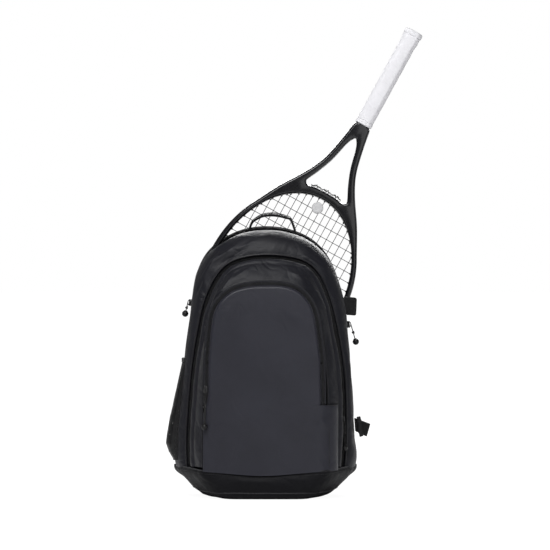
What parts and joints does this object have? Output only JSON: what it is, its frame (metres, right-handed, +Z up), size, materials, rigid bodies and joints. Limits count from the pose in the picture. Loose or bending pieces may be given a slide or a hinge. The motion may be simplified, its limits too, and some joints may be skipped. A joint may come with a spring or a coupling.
{
  "type": "racket backpack",
  "caption": "Rounded sports backpack with padded shoulder straps, zipped compartments, a mesh bottle pocket and a racket standing in its rear sleeve.",
  "frame": {"origin": "on the floor, under the middle of the pack's width, between its front and back", "axes": "+Z up, the pack's front faces -Y, +X towards the racket's grip"},
  "size_m": [0.4549, 0.2248, 0.8316],
  "materials": {
    "coated_fabric": "satin coated",
    "panel_fabric": "satin coated",
    "base_fabric": "matte",
    "nylon_weave": "woven",
    "air_mesh": "open mesh",
    "webbing": "ribbed webbing",
    "zip_coil": "coil",
    "dark_metal": "dark enamel",
    "pull_cord": "moulded",
    "buckle_plastic": "matte",
    "racket_paint": "gloss lacquer on graphite",
    "grommet_plastic": "matte",
    "string": "smooth",
    "grip_tape": "matte overgrip",
    "damper_rubber": "matte"
  },
  "bodies": {
    "pack": {"main_shell": "coated_fabric", "hood_piping": "coated_fabric", "main_zip_outer": "zip_coil", "racket_divider": "nylon_weave", "racket_rest": "nylon_weave", "base_panel": "base_fabric", "back_panel": "nylon_weave", "back_pad_left": "air_mesh", "back_pad_right": "air_mesh", "lumbar_pad": "air_mesh", "rear_gusset_left": "nylon_weave", "rear_gusset_right": "nylon_weave", "rear_zip_left": "zip_coil", "rear_zip_right": "zip_coil", "mouth_tape_front": "zip_coil", "mouth_tape_back": "zip_coil", "mesh_pocket": "air_mesh", "pocket_binding": "webbing", "strap_anchor_left": "nylon_weave", "strap_anchor_right": "nylon_weave"},
    "main_flap": {"main_flap": "coated_fabric", "main_zip_inner": "zip_coil", "pocket_gusset": "coated_fabric", "pocket_zip_outer": "zip_coil", "front_panel_lower": "panel_fabric"},
    "pocket_flap": {"front_panel_upper": "panel_fabric", "pocket_zip_inner": "zip_coil"},
    "pocket_slider": {"pocket_slider": "dark_metal"},
    "pocket_pull": {"pocket_pull": "pull_cord"},
    "main_slider": {"main_slider": "dark_metal"},
    "main_pull": {"main_pull": "pull_cord"},
    "rear_slider_left": {"rear_slider_left": "dark_metal"},
    "rear_pull_left": {"rear_pull_left": "pull_cord"},
    "rear_slider_right": {"rear_slider_right": "dark_metal"},
    "rear_pull_right": {"rear_pull_right": "pull_cord"},
    "grab_handle": {"grab_handle": "webbing"},
    "shoulder_strap_left": {"shoulder_strap_left": "air_mesh", "ladder_lock_left": "buckle_plastic"},
    "shoulder_strap_right": {"shoulder_strap_right": "air_mesh", "ladder_lock_right": "buckle_plastic"},
    "lower_webbing_left": {"lower_webbing_left": "webbing"},
    "lower_webbing_right": {"lower_webbing_right": "webbing"},
    "stick_strap_upper": {"stick_strap_upper": "webbing"},
    "stick_strap_lower": {"stick_strap_lower": "webbing", "tri_glide": "buckle_plastic"},
    "racket": {"racket_frame": "racket_paint", "main_strings": "string", "cross_strings": "string", "vibration_damper": "damper_rubber", "head_guard": "grommet_plastic", "yoke_grommets": "grommet_plastic", "grip": "grip_tape", "grip_collar": "grip_tape", "butt_cap": "grip_tape"}
  },
  "joints": [
    {"name": "racket_slide", "type": "slide", "parent": "pack", "child": "racket", "axis": [0.4818, 0, 0.8763], "range_m": [0, 0.3]},
    {"name": "main_flap_fold", "type": "hinge", "parent": "pack", "child": "main_flap", "pos_m": [0, -0.099, 0.055], "axis": [1, 0, 0], "range_deg": [0, 80]},
    {"name": "pocket_flap_fold", "type": "hinge", "parent": "main_flap", "child": "pocket_flap", "pos_m": [-0.006, -0.099, 0.164], "axis": [1, 0, 0], "range_deg": [0, 70]},
    {"name": "pocket_zip_slide", "type": "slide", "parent": "main_flap", "child": "pocket_slider", "axis": [0.0316, 0, 0.9995], "range_m": [-0.012, 0.055]},
    {"name": "pocket_pull_swing", "type": "hinge", "parent": "pocket_slider", "child": "pocket_pull", "pos_m": [-0.10484, -0.0996, 0.192], "axis": [-1, 0, 0], "range_deg": [0, 70]},
    {"name": "main_zip_slide", "type": "slide", "parent": "pack", "child": "main_slider", "axis": [-0.012, 0, 0.9999], "range_m": [-0.02, 0.05]},
    {"name": "main_pull_swing", "type": "hinge", "parent": "main_slider", "child": "main_pull", "pos_m": [0.13604, -0.026, 0.136], "axis": [-1, 0, 0], "range_deg": [0, 60]},
    {"name": "rear_zip_slide_left", "type": "slide", "parent": "pack", "child": "rear_slider_left", "axis": [0.1084, 0, 0.9941], "range_m": [-0.12, 0.015]},
    {"name": "rear_pull_swing_left", "type": "hinge", "parent": "rear_slider_left", "child": "rear_pull_left", "pos_m": [-0.13814, 0.0615, 0.341], "axis": [0, 1, 0], "range_deg": [0, 60]},
    {"name": "rear_zip_slide_right", "type": "slide", "parent": "pack", "child": "rear_slider_right", "axis": [-0.0778, 0, 0.997], "range_m": [-0.12, 0.01]},
    {"name": "rear_pull_swing_right", "type": "hinge", "parent": "rear_slider_right", "child": "rear_pull_right", "pos_m": [0.1501, 0.0615, 0.302], "axis": [0, -1, 0], "range_deg": [0, 60]},
    {"name": "grab_handle_swing", "type": "hinge", "parent": "pack", "child": "grab_handle", "pos_m": [0, 0.0955, 0.473], "axis": [-1, 0, 0], "range_deg": [0, 80]},
    {"name": "shoulder_strap_swing_left", "type": "hinge", "parent": "pack", "child": "shoulder_strap_left", "pos_m": [-0.048, 0.1022, 0.452], "axis": [1, 0, 0], "range_deg": [0, 45]},
    {"name": "shoulder_strap_swing_right", "type": "hinge", "parent": "pack", "child": "shoulder_strap_right", "pos_m": [0.048, 0.1022, 0.452], "axis": [1, 0, 0], "range_deg": [0, 45]},
    {"name": "lower_webbing_swing_left", "type": "hinge", "parent": "pack", "child": "lower_webbing_left", "pos_m": [-0.118, 0.1045, 0.072], "axis": [-1, 0, 0], "range_deg": [0, 60]},
    {"name": "lower_webbing_swing_right", "type": "hinge", "parent": "pack", "child": "lower_webbing_right", "pos_m": [0.118, 0.1045, 0.072], "axis": [-1, 0, 0], "range_deg": [0, 60]},
    {"name": "stick_strap_upper_open", "type": "hinge", "parent": "pack", "child": "stick_strap_upper", "pos_m": [0.14215, 0.03, 0.3355], "axis": [0, 0, -1], "range_deg": [0, 75]},
    {"name": "stick_strap_lower_swing", "type": "hinge", "parent": "pack", "child": "stick_strap_lower", "pos_m": [0.15817, 0.0308, 0.125], "axis": [0, 0, -1], "range_deg": [0, 75]}
  ],
  "couplings": [
    {"joint": "lower_webbing_swing_left", "follows": "shoulder_strap_swing_left", "ratio": 1.3},
    {"joint": "lower_webbing_swing_right", "follows": "shoulder_strap_swing_right", "ratio": 1.3}
  ]
}
